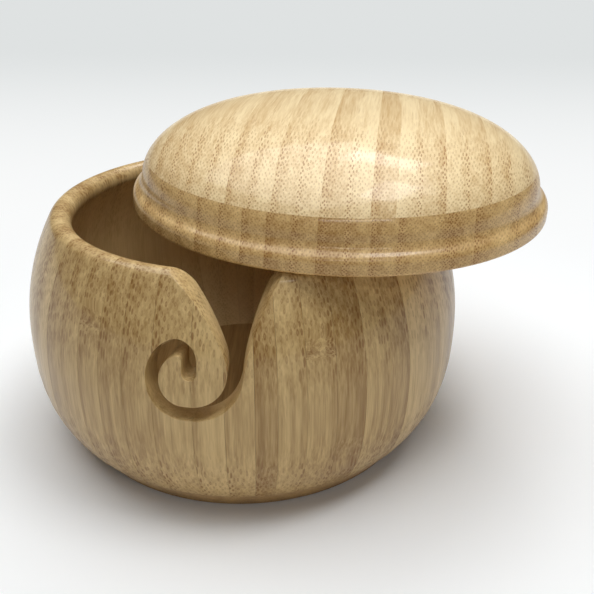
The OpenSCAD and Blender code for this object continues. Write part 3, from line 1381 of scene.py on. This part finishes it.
    def build(self, lower_finish: bpy.types.Material, upper_finish: bpy.types.Material) -> None:
        """Builds the lid and dresses it.

        Args:
            lower_finish: Finish of the lower board.
            upper_finish: Finish of the upper board.
        """
        outline = TurnedSection(self.section())
        blank = spun("lid_blank", self.section(), 180)
        lower, upper = self.halves(blank)
        boards = ((lower, "lower", self.lower_start, self.lower_pitch, self.lower_looks, lower_finish),
                  (upper, "upper", self.upper_start, self.upper_pitch, self.upper_looks, upper_finish))
        for board, level, start, pitch, looks, finish in boards:
            for i in range(1, self.strips + 1):
                left = (start + (i - 1) * pitch) * MM
                by_rule = Cane(0.2 + 0.3 * varied(i), Side.LOW if i < self.turned_over else Side.HIGH, 0.45)
                seed = i * 0.43 + (7.1 if level == "lower" else 0.0)
                name = f"lid_{level}_strip_{i}"
                piece = self.strip(board, f"{name}_turned", left, left + pitch * MM, looks.get(i, by_rule),
                                   seed, outline)
                hand_over(piece, name, "lid", finish)
            log.info("lid's %s board: %d strips", level, self.strips)
            discard(board)
        discard(blank)


@dataclass(frozen=True)
class Lamp:
    """A soft rectangular lamp: place and aim in millimetres, size in metres and power in watts."""

    name: str
    place: Triple
    aim: Triple
    size: tuple[float, float]
    power: float

    def hang(self) -> None:
        """Hangs the lamp."""
        data = bpy.data.lights.new(self.name, "AREA")
        data.shape = "RECTANGLE"
        data.size, data.size_y = self.size
        data.energy = self.power
        holder = bpy.data.objects.new(self.name, data)
        bpy.context.collection.objects.link(holder)
        way = Vector(self.aim) - Vector(self.place)
        turn = way.to_track_quat("-Z", "Y").to_matrix().to_4x4()
        holder.matrix_world = Matrix.Translation(Vector(self.place) * MM) @ turn


@dataclass
class Studio:
    """The pale floor, the soft lights and the camera. Places are in millimetres."""

    eye: Triple = (18.562, -250.197, 167.018)
    forward: Triple = (0.0001, 0.8973, -0.4414)
    roll: float = 0.52
    focal_px: float = 764.4
    sensor: float = 36.0
    white: Colour = (243, 245, 246)
    bounce: Colour = (240, 233, 218)
    front_glow: Colour = (232, 234, 233)
    middle_glow: Colour = (251, 252, 252)
    back_glow: Colour = (223, 226, 226)
    backdrop: Colour = (236, 239, 239)
    floor_rough: float = 0.55
    floor_shine: float = 0.2
    shade_reach: float = 0.12
    shade_end: float = 0.26
    fill: float = 0.08
    lamps: tuple[Lamp, ...] = (
        Lamp("panel_near", (270, -80, 800), (30, 0, 100), (0.32, 0.2), 1.4),
        Lamp("panel_far", (230, 420, 800), (20, 0, 100), (0.32, 0.15), 0.8),
        Lamp("front", (150, -760, 640), (30, 0, 60), (0.6, 0.06), 0.85),
        Lamp("ceiling", (-70, 110, 1000), (0, 0, 0), (1.2, 1.2), 11.4),
    )

    def camera(self) -> None:
        """Sets up the camera at the photograph's viewing angle."""
        data = bpy.data.cameras.new("camera")
        data.sensor_width = self.sensor
        data.lens = self.focal_px * self.sensor / PHOTO_PX
        data.clip_start = 0.01
        data.clip_end = 20
        holder = bpy.data.objects.new("camera", data)
        bpy.context.collection.objects.link(holder)
        turn = Vector(self.forward).to_track_quat("-Z", "Y").to_matrix().to_4x4()
        holder.matrix_world = (Matrix.Translation(Vector(self.eye) * MM) @ turn
                               @ Matrix.Rotation(math.radians(self.roll), 4, "Z"))
        bpy.context.scene.camera = holder

    def floor(self) -> None:
        """Lays a wide pale floor that keeps the object's soft shadow."""
        deselect()
        bpy.ops.mesh.primitive_plane_add(size=12, location=(0, 0, 0))
        floor = bpy.context.active_object
        floor.name = "floor"
        material = bpy.data.materials.new("floor_white")
        material.use_nodes = True
        tree = material.node_tree
        wire = Wiring(tree)
        shader = tree.nodes["Principled BSDF"]
        shader.inputs["Roughness"].default_value = self.floor_rough
        shader.inputs["Specular IOR Level"].default_value = self.floor_shine
        where = tree.nodes.new("ShaderNodeTexCoord").outputs["Object"]
        spread = tree.nodes.new("ShaderNodeVectorMath")
        spread.operation = "LENGTH"
        wire.put(spread.inputs[0], wire.moved(where, (-0.02, -0.02, 0.0)))
        path = tree.nodes.new("ShaderNodeLightPath")
        mirrored = wire.maths("MAXIMUM", path.outputs["Is Glossy Ray"], path.outputs["Is Transmission Ray"])
        seen = wire.maths("MAXIMUM", path.outputs["Is Camera Ray"], mirrored)
        wire.put(shader.inputs["Base Color"], wire.blend(seen, colour(*self.bounce), colour(*self.white)))
        far = wire.ramp(spread.outputs["Value"], self.shade_reach, self.shade_end)
        depth = wire.split(where)[1]
        front = wire.blend(wire.ramp(depth, -0.16, 0.0), colour(*self.front_glow), colour(*self.middle_glow))
        tint = wire.blend(wire.ramp(depth, 0.1, 0.9), front, colour(*self.back_glow))
        glow = tree.nodes.new("ShaderNodeEmission")
        wire.put(glow.inputs["Color"], tint)
        mixed = tree.nodes.new("ShaderNodeMixShader")
        wire.put(mixed.inputs[0], seen * far)
        wire.put(mixed.inputs[1], shader.outputs[0])
        wire.put(mixed.inputs[2], glow.outputs[0])
        wire.put(tree.nodes["Material Output"].inputs["Surface"], mixed.outputs[0])
        floor.data.materials.append(material)

    def world(self) -> None:
        """Fills the room with plain white light and shows a pale backdrop to the camera."""
        world = bpy.data.worlds.new("room")
        world.use_nodes = True
        bpy.context.scene.world = world
        tree = world.node_tree
        wire = Wiring(tree)
        shown = tree.nodes["Background"]
        fill = tree.nodes.new("ShaderNodeBackground")
        mixed = tree.nodes.new("ShaderNodeMixShader")
        path = tree.nodes.new("ShaderNodeLightPath")
        shown.inputs["Color"].default_value = colour(*self.backdrop)
        fill.inputs["Color"].default_value = (1, 1, 1, 1)
        fill.inputs["Strength"].default_value = self.fill
        wire.put(mixed.inputs[0], path.outputs["Is Camera Ray"])
        wire.put(mixed.inputs[1], fill.outputs[0])
        wire.put(mixed.inputs[2], shown.outputs[0])
        wire.put(tree.nodes["World Output"].inputs["Surface"], mixed.outputs[0])

    def build(self) -> None:
        """Sets the whole stage."""
        self.camera()
        self.floor()
        for lamp in self.lamps:
            lamp.hang()
        self.world()
        bpy.context.scene.view_settings.view_transform = "Standard"
        log.info("stage and camera")


def front_staves() -> dict[int, Cane]:
    """How the staves at the front look, by their number from the first joint."""
    low, high = Side.LOW, Side.HIGH
    return {
        0: Cane(0.42, low, 0.35), 1: Cane(0.45, low, 0.5, 0.0655), 2: Cane(0.5, low, 0.75),
        3: Cane(0.4, low, 0.55), 4: Cane(0.3, low, 0.25), 5: Cane(0.12, low, 0.22), 6: Cane(0.28, low, 0.45),
        7: Cane(0.62, low, 0.9), 8: Cane(0.3, high, 0.2), 9: Cane(0.4, high, 0.5, 0.062),
        10: Cane(0.66, high, 0.8, 0.023), 11: Cane(0.34, high, 0.4), 12: Cane(0.6, high, 0.5),
        13: Cane(0.08, high, 0.2), 14: Cane(0.36, high, 0.4), 15: Cane(0.2, high, 0.4),
    }


def upper_strips() -> dict[int, Cane]:
    """How the strips of the lid's upper board look, from the left."""
    low, high = Side.LOW, Side.HIGH
    return {
        5: Cane(0.3, low, 0.35), 6: Cane(0.14, low, 0.4), 7: Cane(0.34, low, 0.5), 8: Cane(0.16, low, 0.3),
        9: Cane(0.3, low, 0.45), 10: Cane(0.14, low, 0.35), 11: Cane(0.36, low, 0.5),
        12: Cane(0.05, low, 0.35), 13: Cane(0.52, low, 0.6), 14: Cane(0.06, high, 0.4),
        15: Cane(0.3, high, 0.4), 16: Cane(0.1, high, 0.3), 17: Cane(0.3, high, 0.35),
        18: Cane(0.22, high, 0.6), 19: Cane(0.12, high, 0.3),
    }


def lower_strips() -> dict[int, Cane]:
    """How the strips of the lid's lower board look, from the left."""
    low, high = Side.LOW, Side.HIGH
    return {
        6: Cane(0.35, low, 0.4), 7: Cane(0.3, low, 0.5), 8: Cane(0.45, low, 0.3), 9: Cane(0.6, low, 0.4),
        10: Cane(0.4, low, 0.45), 11: Cane(0.7, low, 0.95), 12: Cane(0.45, low, 0.5), 13: Cane(0.5, low, 0.6),
        14: Cane(0.4, low, 0.5), 15: Cane(0.42, high, 0.4), 16: Cane(0.5, low, 0.8), 17: Cane(0.5, low, 0.7),
        18: Cane(0.3, high, 0.4),
    }


def main() -> None:
    """Builds the stage, the bowl and the lid."""
    logging.basicConfig(level=logging.INFO, format="%(name)s: %(message)s")
    Studio().build()
    cane = CaneFibres().build()
    bowl = Bowl(looks=front_staves())
    lid = Lid(bowl=bowl, upper_looks=upper_strips(), lower_looks=lower_strips())
    # The lid's strips run along its own Y, so the fibres' Z is turned that way
    lid_turn = (lid.pose @ Matrix.Rotation(math.radians(-90), 4, "X")).to_euler()
    wall = BambooFinish("wall_bamboo", (212, 184, 130), (154, 120, 67), (118, 72, 16),
                        spacing=1.3, fibre_strength=0.72).make(cane)
    base = BambooFinish("base_bamboo", (196, 160, 104), (150, 114, 62), (98, 66, 28),
                        turn=(math.radians(90), 0, 0)).make(cane)
    lower = BambooFinish("lid_lower_bamboo", (224, 192, 134), (172, 133, 76), (122, 70, 10),
                         turn=tuple(lid_turn), spacing=0.86).make(cane)
    upper = BambooFinish("lid_upper_bamboo", (240, 217, 170), (199, 164, 110), (146, 90, 24),
                         turn=tuple(lid_turn), spacing=0.86).make(cane)
    bowl.build(wall, base)
    lid.build(lower, upper)


if __name__ == "__main__":
    main()
